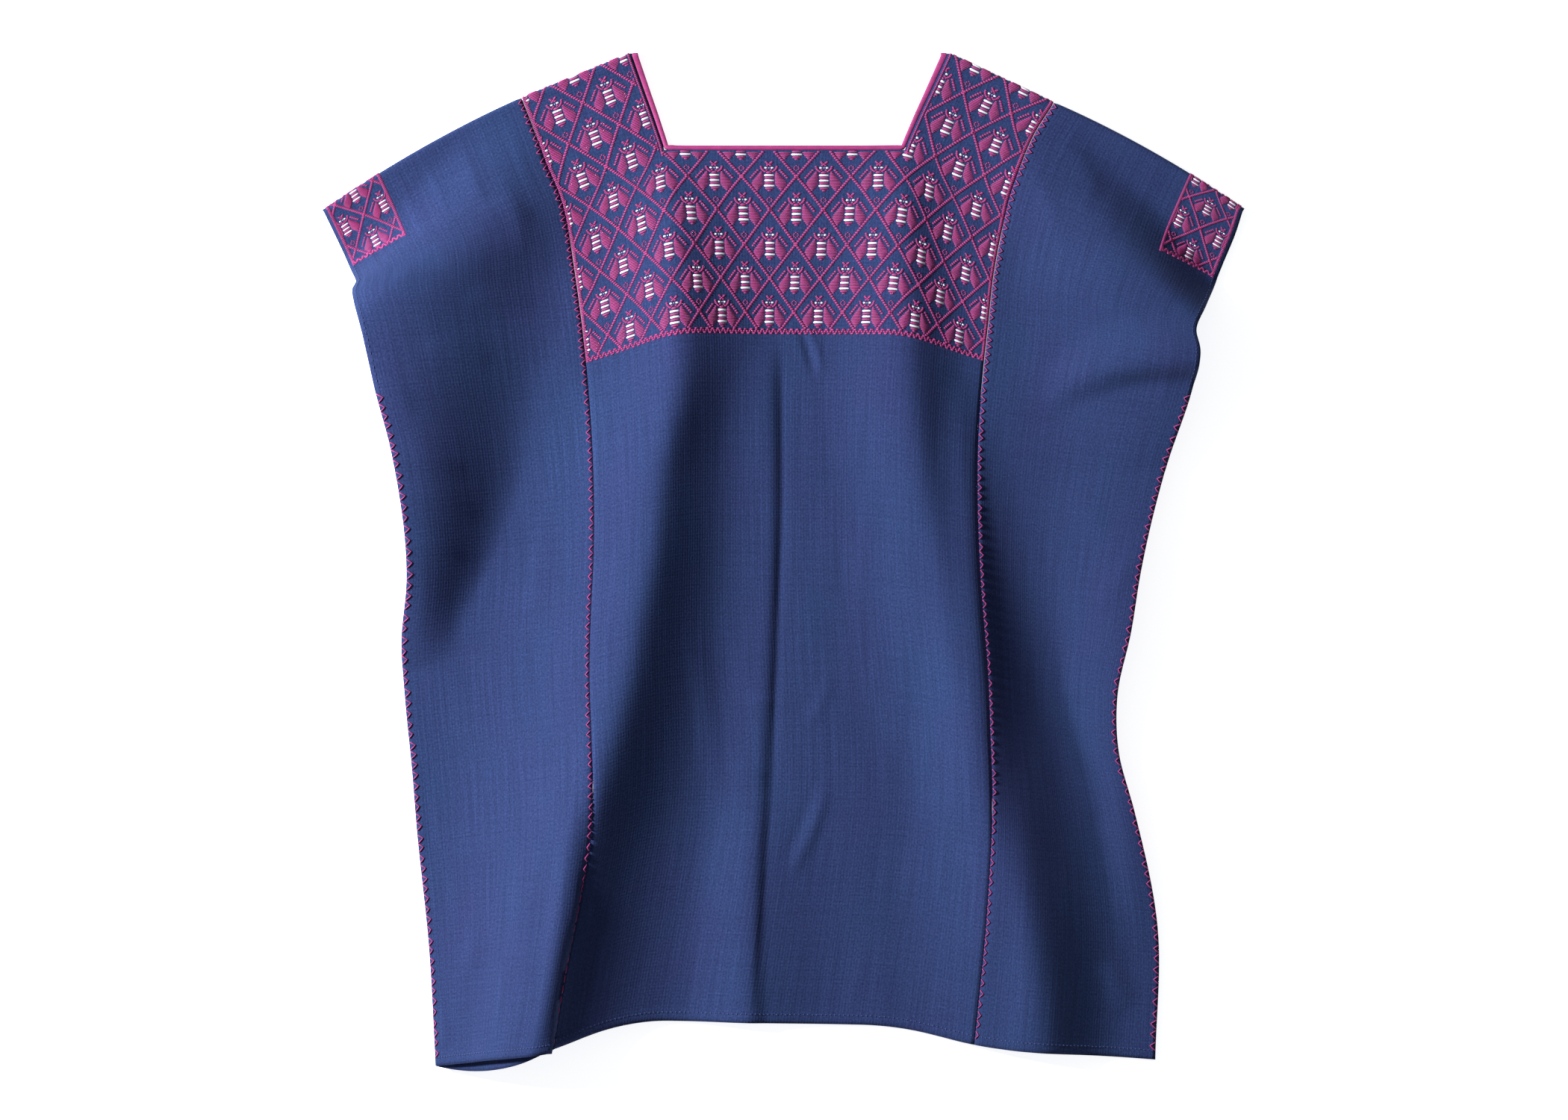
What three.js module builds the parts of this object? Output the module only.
// A huipil of three hand-woven webs, laid flat on its back with soft folds left in it.
// Millimetres, +X to the right, +Y to the shoulders, +Z up. The origin is the middle of the
// bounding box, on the surface that the garment lies on.
import * as THREE from 'three';

// Cut sizes of the webs. Each web is folded at the shoulder, so front and back are one piece.
const LENGTH = 804;
const CENTRE_WIDTH = 388;
const SIDE_WIDTH = 184;
const NECK_WIDTH = 193;
const NECK_DEPTH = 82;

// Cloth, in section.
const WALL = 1.2;
const LAYER_GAP = 0.8;
const SEAM_GAP = 0.3;
const FOLD_LOFT = 0.012;
const SHOULDER_LOFT = 1.2;
const SHOULDER_REACH = 30;

// The cord that is sewn round the neck, laid against the cut edge.
const BINDING_WIDTH = 3.5;

// Shape of the rows of cloth between the seams.
const SHOULDER_CROWN = 5;
const CROWN_REACH = 90;
const NECK_ROUNDING = 5;
const HEM_ROUNDING = 34;
const ROUNDING_REACH = 300;
const ROUNDING_STEPS = 4;
const EVEN_REACH = 120;

// Fineness of the grid.
const SIDE_COLUMNS = 11;
const STRAP_COLUMNS = 6;
const NECK_COLUMNS = 12;
const STRAP_ROWS = 5;
const SLEEVE_ROWS = 12;
const SLEEVE_END = 270;
const SKIRT_ROWS = 17;
const ROLL_STEPS = 4;
const ROW_SAMPLES = 36;

// Where each seam and edge lies once the garment is laid down, on one row for each distance
// down the cloth from the shoulder: outer edge, panel seam and the line below the neck corner.
const SECTIONS = [
  { down: 0, edgeL: [-380, 287], seamL: [-216, 380], bendL: [-126, 417],
    bendR: [135, 417], seamR: [222, 376], edgeR: [379, 288] },
  { down: 30, edgeL: [-369, 264], seamL: [-206, 354], bendL: [-116, 389],
    bendR: [122, 389], seamR: [207, 352], edgeR: [373, 269] },
  { down: 60, edgeL: [-357, 239], seamL: [-196, 326], bendL: [-106, 361],
    bendR: [109, 361], seamR: [196, 327], edgeR: [363, 245] },
  { down: 82, edgeL: [-352, 230], seamL: [-187, 305], bendL: [-99, 339],
    bendR: [100, 339], seamR: [188, 305], edgeR: [356, 228] },
  { down: 120, edgeL: [-352, 226], seamL: [-178, 271], bendL: [-97, 304],
    bendR: [98, 303], seamR: [180, 271], edgeR: [347, 209] },
  { down: 160, edgeL: [-354, 218], seamL: [-172, 233], bendL: [-92, 263],
    bendR: [96, 262], seamR: [173, 233], edgeR: [339, 191] },
  { down: 200, edgeL: [-347, 189], seamL: [-167, 196], bendL: [-90, 223],
    bendR: [98, 222], seamR: [169, 196], edgeR: [342, 172] },
  { down: 240, edgeL: [-336, 141], seamL: [-163, 158], bendL: [-88, 183],
    bendR: [100, 182], seamR: [165, 160], edgeR: [336, 140] },
  { down: 300, edgeL: [-322, 86], seamL: [-158, 99], bendL: [-90, 123],
    bendR: [96, 122], seamR: [160, 101], edgeR: [317, 82] },
  { down: 400, edgeL: [-311, -17], seamL: [-156, 1], bendL: [-95, 24],
    bendR: [93, 24], seamR: [160, 3], edgeR: [294, -11] },
  { down: 450, edgeL: [-316, -69], seamL: [-158, -48], bendL: [-99, -25],
    bendR: [95, -26], seamR: [163, -45], edgeR: [286, -60] },
  { down: 500, edgeL: [-313, -120], seamL: [-160, -97], bendL: [-104, -75],
    bendR: [98, -76], seamR: [167, -94], edgeR: [275, -110] },
  { down: 550, edgeL: [-308, -170], seamL: [-160, -147], bendL: [-109, -125],
    bendR: [101, -126], seamR: [169, -144], edgeR: [276, -158] },
  { down: 600, edgeL: [-304, -219], seamL: [-161, -197], bendL: [-114, -176],
    bendR: [103, -176], seamR: [171, -193], edgeR: [289, -206] },
  { down: 700, edgeL: [-294, -317], seamL: [-174, -299], bendL: [-125, -277],
    bendR: [104, -277], seamR: [167, -294], edgeR: [309, -306] },
  { down: 804, edgeL: [-289, -418], seamL: [-192, -405], bendL: [-135, -380],
    bendR: [100, -385], seamR: [157, -402], edgeR: [307, -413] },
];
const RAILS = ['edgeL', 'seamL', 'bendL', 'bendR', 'seamR', 'edgeR'];

// Folds that run down the cloth. The tip says how blunt the crest is. A row gives a place on the
// crest (y, x), the height there, how far the flanks reach to its left and right, and how far each
// millimetre of height leans to the right.
const DOWN_FOLDS = {
  left_sweep: {
    tip: 0.14,
    rows: [
      { y: 345, x: -97, height: 0, left: 60, right: 60, lean: 0 },
      { y: 300, x: -94, height: 8, left: 70, right: 70, lean: 0 },
      { y: 259, x: -90, height: 15, left: 76, right: 78, lean: 0 },
      { y: 206, x: -87, height: 22, left: 82, right: 90, lean: 0 },
      { y: 166, x: -86, height: 26, left: 90, right: 92, lean: 0 },
      { y: 135, x: -90, height: 29, left: 102, right: 90, lean: 0 },
      { y: 74, x: -103, height: 31, left: 112, right: 94, lean: 0 },
      { y: 12, x: -110, height: 34, left: 122, right: 98, lean: 0 },
      { y: -49, x: -122, height: 36, left: 136, right: 104, lean: 0 },
      { y: -111, x: -137, height: 38, left: 144, right: 112, lean: 0.05 },
      { y: -172, x: -157, height: 40, left: 138, right: 120, lean: 0.1 },
      { y: -234, x: -178, height: 41, left: 130, right: 126, lean: 0.15 },
      { y: -296, x: -192, height: 42, left: 126, right: 130, lean: 0.2 },
      { y: -357, x: -203, height: 42, left: 122, right: 132, lean: 0.25 },
      { y: -430, x: -212, height: 42, left: 118, right: 132, lean: 0.3 },
    ],
  },
  left_shoulder: {
    tip: 3,
    rows: [
      { y: 375, x: -214, height: 0, left: 50, right: 30, lean: 0 },
      { y: 320, x: -236, height: 8, left: 60, right: 58, lean: 0 },
      { y: 290, x: -250, height: 16, left: 74, right: 80, lean: 0 },
      { y: 259, x: -277, height: 26, left: 80, right: 106, lean: 0 },
      { y: 228, x: -316, height: 36, left: 84, right: 138, lean: 0 },
      { y: 197, x: -342, height: 40, left: 76, right: 162, lean: 0 },
      { y: 135, x: -332, height: 40, left: 66, right: 132, lean: 0 },
      { y: 74, x: -319, height: 36, left: 62, right: 106, lean: 0 },
      { y: 12, x: -311, height: 27, left: 60, right: 77, lean: 0 },
      { y: -49, x: -307, height: 12, left: 50, right: 45, lean: 0 },
      { y: -90, x: -306, height: 0, left: 40, right: 34, lean: 0 },
    ],
  },
  storage_crease: {
    tip: 0.6,
    rows: [
      { y: 180, x: -12, height: 0, left: 24, right: 10, lean: 0 },
      { y: 145, x: -13, height: 2.5, left: 36, right: 13, lean: 0 },
      { y: 30, x: -13, height: 3, left: 46, right: 14, lean: 0 },
      { y: -62, x: -16, height: 3.2, left: 48, right: 14, lean: 0 },
      { y: -154, x: -20, height: 3.6, left: 50, right: 15, lean: 0 },
      { y: -277, x: -26, height: 4, left: 50, right: 15, lean: 0.1 },
      { y: -395, x: -30, height: 4.5, left: 50, right: 16, lean: 0.2 },
    ],
  },
  hem_swell: {
    tip: 0.3,
    rows: [
      { y: -190, x: -20, height: 0, left: 40, right: 50, lean: 0 },
      { y: -250, x: -23, height: 5, left: 60, right: 74, lean: 0 },
      { y: -330, x: -25, height: 7, left: 66, right: 76, lean: 0 },
      { y: -420, x: -27, height: 9, left: 70, right: 72, lean: 0 },
    ],
  },
  right_of_neck: {
    tip: 0.3,
    rows: [
      { y: 345, x: 97, height: 0, left: 50, right: 40, lean: 0 },
      { y: 320, x: 97, height: 5, left: 56, right: 44, lean: 0 },
      { y: 259, x: 98, height: 10, left: 66, right: 50, lean: 0 },
      { y: 197, x: 100, height: 14, left: 72, right: 58, lean: 0 },
      { y: 135, x: 103, height: 17, left: 76, right: 62, lean: 0 },
      { y: 74, x: 112, height: 18, left: 78, right: 60, lean: 0 },
      { y: 12, x: 121, height: 19, left: 80, right: 56, lean: 0 },
      { y: -49, x: 129, height: 18, left: 80, right: 54, lean: 0 },
      { y: -111, x: 138, height: 13, left: 80, right: 50, lean: 0 },
      { y: -172, x: 148, height: 6, left: 80, right: 48, lean: 0 },
      { y: -234, x: 158, height: 0, left: 80, right: 50, lean: 0 },
    ],
  },
  right_sweep: {
    tip: 0.25,
    rows: [
      { y: 150, x: 146, height: 0, left: 26, right: 26, lean: 0 },
      { y: 110, x: 149, height: 3, left: 30, right: 34, lean: 0 },
      { y: 74, x: 151, height: 6, left: 34, right: 42, lean: 0 },
      { y: 43, x: 154, height: 9, left: 38, right: 46, lean: 0 },
      { y: 12, x: 156, height: 12, left: 44, right: 50, lean: 0 },
      { y: -49, x: 160, height: 18, left: 50, right: 60, lean: 0 },
      { y: -111, x: 164, height: 24, left: 60, right: 74, lean: 0 },
      { y: -172, x: 168, height: 28, left: 72, right: 94, lean: 0 },
      { y: -234, x: 181, height: 31, left: 88, right: 98, lean: 0 },
      { y: -296, x: 197, height: 31, left: 108, right: 94, lean: 0 },
      { y: -357, x: 209, height: 27, left: 120, right: 80, lean: 0 },
      { y: -430, x: 212, height: 22, left: 120, right: 70, lean: 0 },
    ],
  },
  right_shoulder: {
    tip: 3,
    rows: [
      { y: 375, x: 205, height: 0, left: 60, right: 50, lean: 0 },
      { y: 320, x: 224, height: 6, left: 70, right: 56, lean: 0 },
      { y: 290, x: 251, height: 14, left: 84, right: 62, lean: 0 },
      { y: 259, x: 275, height: 21, left: 98, right: 64, lean: 0 },
      { y: 228, x: 303, height: 27, left: 124, right: 60, lean: 0 },
      { y: 197, x: 335, height: 29, left: 150, right: 56, lean: 0 },
      { y: 166, x: 345, height: 28, left: 160, right: 50, lean: 0 },
      { y: 135, x: 340, height: 20, left: 150, right: 50, lean: 0 },
      { y: 74, x: 330, height: 0, left: 130, right: 50, lean: 0 },
    ],
  },
  right_flank: {
    tip: 3,
    rows: [
      { y: 150, x: 342, height: 0, left: 120, right: 40, lean: 0 },
      { y: 74, x: 322, height: 11, left: 118, right: 40, lean: 0 },
      { y: 12, x: 306, height: 16, left: 96, right: 40, lean: 0 },
      { y: -49, x: 292, height: 18, left: 72, right: 40, lean: 0 },
      { y: -111, x: 284, height: 16, left: 54, right: 36, lean: 0 },
      { y: -172, x: 284, height: 10, left: 38, right: 36, lean: 0 },
      { y: -234, x: 290, height: 6, left: 30, right: 36, lean: 0 },
      { y: -330, x: 300, height: 0, left: 28, right: 30, lean: 0 },
    ],
  },
};

// Folds that run across the cloth, over the sleeves. A row gives a place on the crest (x, y), the
// height there, how far the flanks reach above and below it, and the lean towards the hem.
const ACROSS_FOLDS = {
  right_curl: {
    tip: 0.6,
    rows: [
      { x: 215, y: 140, height: 0, above: 30, below: 24, lean: 0 },
      { x: 248, y: 152, height: 6, above: 40, below: 24, lean: 0.1 },
      { x: 290, y: 164, height: 9, above: 44, below: 24, lean: 0.2 },
      { x: 345, y: 168, height: 10, above: 46, below: 24, lean: 0.3 },
      { x: 400, y: 168, height: 10, above: 46, below: 24, lean: 0.3 },
    ],
  },
};

const INDIGO = 0x2b3a78;
const MAGENTA = 0xb23a78;

// Smooth reading of a table: the value of one column at a place along another column.
function readTable(rows, along, at, value) {
  const rising = rows[rows.length - 1][along] > rows[0][along];
  const place = (row) => (rising ? row[along] : -row[along]);
  const target = rising ? at : -at;
  const last = rows.length - 1;
  if (target <= place(rows[0])) return value(rows[0]);
  if (target >= place(rows[last])) return value(rows[last]);
  let i = 0;
  while (place(rows[i + 1]) < target) i += 1;
  const slope = (a, b) => (value(rows[b]) - value(rows[a])) / (place(rows[b]) - place(rows[a]));
  const step = place(rows[i + 1]) - place(rows[i]);
  const here = slope(i, i + 1);
  const tangent = (a) => {
    if (a === 0 || a === last) return here;
    const before = place(rows[a]) - place(rows[a - 1]);
    const after = place(rows[a + 1]) - place(rows[a]);
    return (slope(a - 1, a) * after + slope(a, a + 1) * before) / (before + after);
  };
  const t = (target - place(rows[i])) / step;
  const pull = t * (1 - t) * step;
  const ease = t * t * (3 - 2 * t);
  const ends = value(rows[i]) * (1 - ease) + value(rows[i + 1]) * ease;
  return ends + pull * (tangent(i) * (1 - t) - tangent(i + 1) * t);
}

// Height of one fold beside its crest: a smooth hump that ends at the reach of its flank.
function hump(offset, height, before, after, tip) {
  const share = Math.abs(offset) / (offset < 0 ? before : after);
  const fall = (Math.hypot(share, tip) - tip) / (Math.hypot(1, tip) - tip);
  return share >= 1 ? 0 : Math.max(height, 0) * (1 - fall) ** 2;
}

// The laid cloth over a place on the surface below it: all folds that pass there.
function foldedPoint(x, y) {
  const point = new THREE.Vector3(x, y, 0);
  for (const { tip, rows } of Object.values(DOWN_FOLDS)) {
    const at = (column) => readTable(rows, 'y', y, (row) => row[column]);
    const beyond = y > rows[0].y || y < rows[rows.length - 1].y;
    const height = beyond ? 0 : hump(x - at('x'), at('height'), at('left'), at('right'), tip);
    point.z += height;
    point.x += height * at('lean');
  }
  for (const { tip, rows } of Object.values(ACROSS_FOLDS)) {
    const at = (column) => readTable(rows, 'x', x, (row) => row[column]);
    const beyond = x < rows[0].x || x > rows[rows.length - 1].x;
    const height = beyond ? 0 : hump(y - at('y'), at('height'), at('below'), at('above'), tip);
    point.z += height;
    point.y -= height * at('lean');
  }
  return point;
}

// One row of cloth across the whole garment: its plan line, with the corners below the neck
// rounded off, lifted into the folds. A point is kept for each sample of each of the five spans.
function clothRow(down) {
  const corners = RAILS.map((rail) => {
    const x = readTable(SECTIONS, 'down', down, (row) => row[rail][0]);
    return new THREE.Vector2(x, readTable(SECTIONS, 'down', down, (row) => row[rail][1]));
  });
  const starts = [0];
  for (let k = 1; k < corners.length; k += 1) {
    starts.push(starts[k - 1] + corners[k].distanceTo(corners[k - 1]));
  }
  const total = starts[starts.length - 1];
  const onLine = (s) => {
    let k = 0;
    while (k < corners.length - 2 && s > starts[k + 1]) k += 1;
    return corners[k].clone().lerp(corners[k + 1], (s - starts[k]) / (starts[k + 1] - starts[k]));
  };
  const softness = Math.min(Math.max(down - NECK_DEPTH, 0) / ROUNDING_REACH, 1);
  const rounding = NECK_ROUNDING + (HEM_ROUNDING - NECK_ROUNDING) * softness;
  const crown = SHOULDER_CROWN * Math.max(1 - down / CROWN_REACH, 0);
  const points = [];
  for (let k = 0; k < corners.length - 1; k += 1) {
    for (let n = k === 0 ? 0 : 1; n <= ROW_SAMPLES; n += 1) {
      const share = n / ROW_SAMPLES;
      const s = starts[k] + (starts[k + 1] - starts[k]) * share;
      const reach = Math.min(rounding, s, total - s);
      const plan = new THREE.Vector2();
      for (let m = -ROUNDING_STEPS; m <= ROUNDING_STEPS; m += 1) {
        plan.add(onLine(s + (reach * m) / ROUNDING_STEPS));
      }
      plan.divideScalar(2 * ROUNDING_STEPS + 1);
      const bulge = k === 0 || k === corners.length - 2 ? 4 * share * (1 - share) * crown : 0;
      points.push(foldedPoint(plan.x, plan.y + bulge));
    }
  }
  return points;
}

// Where the rails lie on the flat cloth, counted from the centre line.
const HALF_CENTRE = CENTRE_WIDTH / 2;
const HALF_NECK = NECK_WIDTH / 2;
const HALF_GARMENT = HALF_CENTRE + SIDE_WIDTH;
const FLAT_RAILS = [-HALF_GARMENT, -HALF_CENTRE, -HALF_NECK, HALF_NECK, HALF_CENTRE, HALF_GARMENT];

// A row with the length along it at each point, and at each rail. The straps keep their width
// beside the neck, and further down the cloth is spread evenly between the panel seams.
function measuredRow(down) {
  const points = clothRow(down);
  const lengths = [0];
  for (let i = 1; i < points.length; i += 1) {
    lengths.push(lengths[i - 1] + points[i].distanceTo(points[i - 1]));
  }
  const rails = RAILS.map((_, k) => lengths[k * ROW_SAMPLES]);
  const evenness = Math.min(Math.max(down - NECK_DEPTH, 0) / EVEN_REACH, 1);
  const stretch = (rails[4] - rails[1]) / CENTRE_WIDTH;
  for (const k of [2, 3]) {
    const even = rails[1] + (FLAT_RAILS[k] - FLAT_RAILS[1]) * stretch;
    rails[k] += (even - rails[k]) * evenness;
  }
  return { points, lengths, rails };
}

// Point of the cloth's middle surface. "across" is the distance from the centre line on the flat
// cloth, and "down" the distance from the shoulder fold.
const rowStore = new Map();
function middlePoint(across, down) {
  if (!rowStore.has(down)) rowStore.set(down, measuredRow(down));
  const { points, lengths, rails } = rowStore.get(down);
  let k = 0;
  while (k < FLAT_RAILS.length - 2 && across > FLAT_RAILS[k + 1]) k += 1;
  const share = (across - FLAT_RAILS[k]) / (FLAT_RAILS[k + 1] - FLAT_RAILS[k]);
  const length = rails[k] + (rails[k + 1] - rails[k]) * share;
  let i = 0;
  while (i < points.length - 2 && length > lengths[i + 1]) i += 1;
  return points[i].clone().lerp(points[i + 1], (length - lengths[i]) / (lengths[i + 1] - lengths[i]));
}

// Half the space between front and back, and the frame of the cloth at a point.
const PROBE = 3;
function clothFrame(across, down) {
  const left = Math.max(across - PROBE, -HALF_GARMENT);
  const right = Math.min(across + PROBE, HALF_GARMENT);
  const upper = Math.max(down - PROBE, 0);
  const lower = Math.min(down + PROBE, LENGTH);
  const rightward = middlePoint(right, down).sub(middlePoint(left, down)).normalize();
  const upward = middlePoint(across, upper).sub(middlePoint(across, lower));
  const normal = new THREE.Vector3().crossVectors(rightward, upward).normalize();
  const outward = new THREE.Vector3().crossVectors(normal, rightward);
  const point = middlePoint(across, down);
  const nearFold = Math.max(1 - down / SHOULDER_REACH, 0) ** 2;
  const space = LAYER_GAP / 2 + FOLD_LOFT * point.z + SHOULDER_LOFT * nearFold;
  point.z += space + WALL;
  return { point, normal, outward, space };
}

// Evenly spaced numbers, ends included.
function spread(from, to, steps) {
  return Array.from({ length: steps + 1 }, (_, n) => from + ((to - from) * n) / steps);
}

// Places along a web, from the front hem over the shoulder fold to the back hem. "turn" is 0 on
// the front and half a turn on the back.
function webPlaces() {
  const downs = [
    ...spread(LENGTH, SLEEVE_END, SKIRT_ROWS),
    ...spread(SLEEVE_END, NECK_DEPTH, SLEEVE_ROWS).slice(1),
    ...spread(NECK_DEPTH, 0, STRAP_ROWS).slice(1),
  ];
  const front = downs.map((down) => ({ down, turn: 0 }));
  const roll = [];
  for (let n = 1; n < ROLL_STEPS; n += 1) roll.push({ down: 0, turn: (Math.PI * n) / ROLL_STEPS });
  const back = downs.map((down) => ({ down, turn: Math.PI })).reverse();
  return [...front, ...roll, ...back];
}

// A point of the wall, at a depth of 0 on the inside of the garment and 1 on its outside.
function wallPoint(frame, turn, depth) {
  const radius = frame.space + WALL * depth;
  return frame.point.clone()
    .addScaledVector(frame.normal, radius * Math.cos(turn))
    .addScaledVector(frame.outward, radius * Math.sin(turn));
}

// Collects corners and four-sided faces, each split along its shorter diagonal.
class FaceBuilder {
  positions = [];
  index = [];

  add(point) {
    this.positions.push(point);
    return this.positions.length - 1;
  }

  quad(a, b, c, d) {
    const [pa, pb, pc, pd] = [a, b, c, d].map((corner) => this.positions[corner]);
    if (pa.distanceTo(pc) <= pb.distanceTo(pd)) this.index.push(a, b, c, a, c, d);
    else this.index.push(a, b, d, b, c, d);
  }

  geometry() {
    const geometry = new THREE.BufferGeometry();
    const flat = this.positions.flatMap((point) => point.toArray());
    geometry.setAttribute('position', new THREE.Float32BufferAttribute(flat, 3));
    geometry.setIndex(this.index);
    return geometry;
  }
}

// A web of cloth as one closed wall over a grid of columns and places, with cells left out where
// it is cut away.
function webGeometry(columns, isCut) {
  const places = webPlaces();
  const faces = new FaceBuilder();
  const corners = places.map(({ down, turn }) => columns.map((across) => {
    const frame = clothFrame(across, down);
    return [0, 1].map((depth) => wallPoint(frame, turn, depth));
  }));
  const numbers = new Map();
  const number = (i, j, depth) => {
    const key = `${i},${j},${depth}`;
    if (!numbers.has(key)) numbers.set(key, faces.add(corners[i][j][depth]));
    return numbers.get(key);
  };
  const isCloth = (i, j) => {
    if (i < 0 || j < 0 || i >= places.length - 1 || j >= columns.length - 1) return false;
    const middle = (columns[j] + columns[j + 1]) / 2;
    return !isCut(middle, (places[i].down + places[i + 1].down) / 2);
  };
  for (let i = 0; i < places.length - 1; i += 1) {
    for (let j = 0; j < columns.length - 1; j += 1) {
      if (!isCloth(i, j)) continue;
      const ring = [[i, j], [i, j + 1], [i + 1, j + 1], [i + 1, j]];
      const outside = ring.map(([row, column]) => number(row, column, 1));
      const inside = ring.map(([row, column]) => number(row, column, 0));
      faces.quad(...outside);
      faces.quad(inside[0], inside[3], inside[2], inside[1]);
      const beyond = [[i - 1, j], [i, j + 1], [i + 1, j], [i, j - 1]];
      beyond.forEach(([row, column], side) => {
        if (isCloth(row, column)) return;
        const next = (side + 1) % 4;
        faces.quad(outside[next], outside[side], inside[side], inside[next]);
      });
    }
  }
  return faces.geometry();
}

function centreColumns() {
  const edge = HALF_CENTRE - SEAM_GAP / 2;
  return [
    ...spread(-edge, -HALF_NECK, STRAP_COLUMNS),
    ...spread(-HALF_NECK, HALF_NECK, NECK_COLUMNS).slice(1),
    ...spread(HALF_NECK, edge, STRAP_COLUMNS).slice(1),
  ];
}

function sideColumns(hand) {
  const inner = HALF_CENTRE + SEAM_GAP / 2;
  const columns = spread(inner, HALF_GARMENT, SIDE_COLUMNS).map((across) => hand * across);
  return hand < 0 ? columns.reverse() : columns;
}

// The cord round the neck: a closed band just inside the cut edge, over both shoulder folds.
function bindingGeometry() {
  const corner = (turn, hand) => ({ across: hand * HALF_NECK, down: NECK_DEPTH, turn });
  const up = spread(NECK_DEPTH, 0, STRAP_ROWS).slice(1);
  const across = spread(-HALF_NECK, HALF_NECK, NECK_COLUMNS).slice(1, -1);
  const rolls = spread(0, Math.PI, ROLL_STEPS).slice(1, -1);
  const strap = (hand, turn) => up.map((down) => ({ across: hand * HALF_NECK, down, turn }));
  const fold = (hand) => rolls.map((turn) => ({ across: hand * HALF_NECK, down: 0, turn }));
  const edge = (turn) => across.map((place) => ({ across: place, down: NECK_DEPTH, turn }));
  const loop = [
    corner(0, -1), ...edge(0), corner(0, 1), ...strap(1, 0), ...fold(1),
    ...strap(1, Math.PI).reverse(), corner(Math.PI, 1), ...edge(Math.PI).reverse(),
    corner(Math.PI, -1), ...strap(-1, Math.PI), ...fold(-1).reverse(), ...strap(-1, 0).reverse(),
  ];
  const inset = (place, distance) => {
    const onStrap = Math.abs(place.across) === HALF_NECK;
    const onEdge = place.down === NECK_DEPTH;
    return {
      across: place.across - (onStrap ? Math.sign(place.across) * distance : 0),
      down: place.down - (onEdge ? distance : 0),
      turn: place.turn,
    };
  };
  const section = [
    { distance: SEAM_GAP, depth: 0 },
    { distance: SEAM_GAP, depth: 1 },
    { distance: SEAM_GAP + BINDING_WIDTH, depth: 1 },
    { distance: SEAM_GAP + BINDING_WIDTH, depth: 0 },
  ];
  const faces = new FaceBuilder();
  const rings = loop.map((place) => section.map(({ distance, depth }) => {
    const moved = inset(place, distance);
    return faces.add(wallPoint(clothFrame(moved.across, moved.down), moved.turn, depth));
  }));
  rings.forEach((ring, i) => {
    const following = rings[(i + 1) % rings.length];
    section.forEach((_, k) => {
      const next = (k + 1) % section.length;
      faces.quad(ring[k], following[k], following[next], ring[next]);
    });
  });
  return faces.geometry();
}

function clothMesh(name, geometry, color) {
  const material = new THREE.MeshStandardMaterial({ color, roughness: 0.9, metalness: 0 });
  const mesh = new THREE.Mesh(geometry, material);
  mesh.name = name;
  return mesh;
}

const insideNeck = (across, down) => Math.abs(across) < HALF_NECK && down < NECK_DEPTH;
const uncut = () => false;
const pieces = [
  clothMesh('centre_panel', webGeometry(centreColumns(), insideNeck), INDIGO),
  clothMesh('side_panel_left', webGeometry(sideColumns(-1), uncut), INDIGO),
  clothMesh('side_panel_right', webGeometry(sideColumns(1), uncut), INDIGO),
  clothMesh('neck_binding', bindingGeometry(), MAGENTA),
];

// The origin goes to the middle of the box, on the lowest face.
const group = new THREE.Group();
group.add(...pieces);
const box = new THREE.Box3().setFromObject(group);
const middle = box.getCenter(new THREE.Vector3());
for (const piece of pieces) piece.geometry.translate(-middle.x, -middle.y, -box.min.z);

export default group;
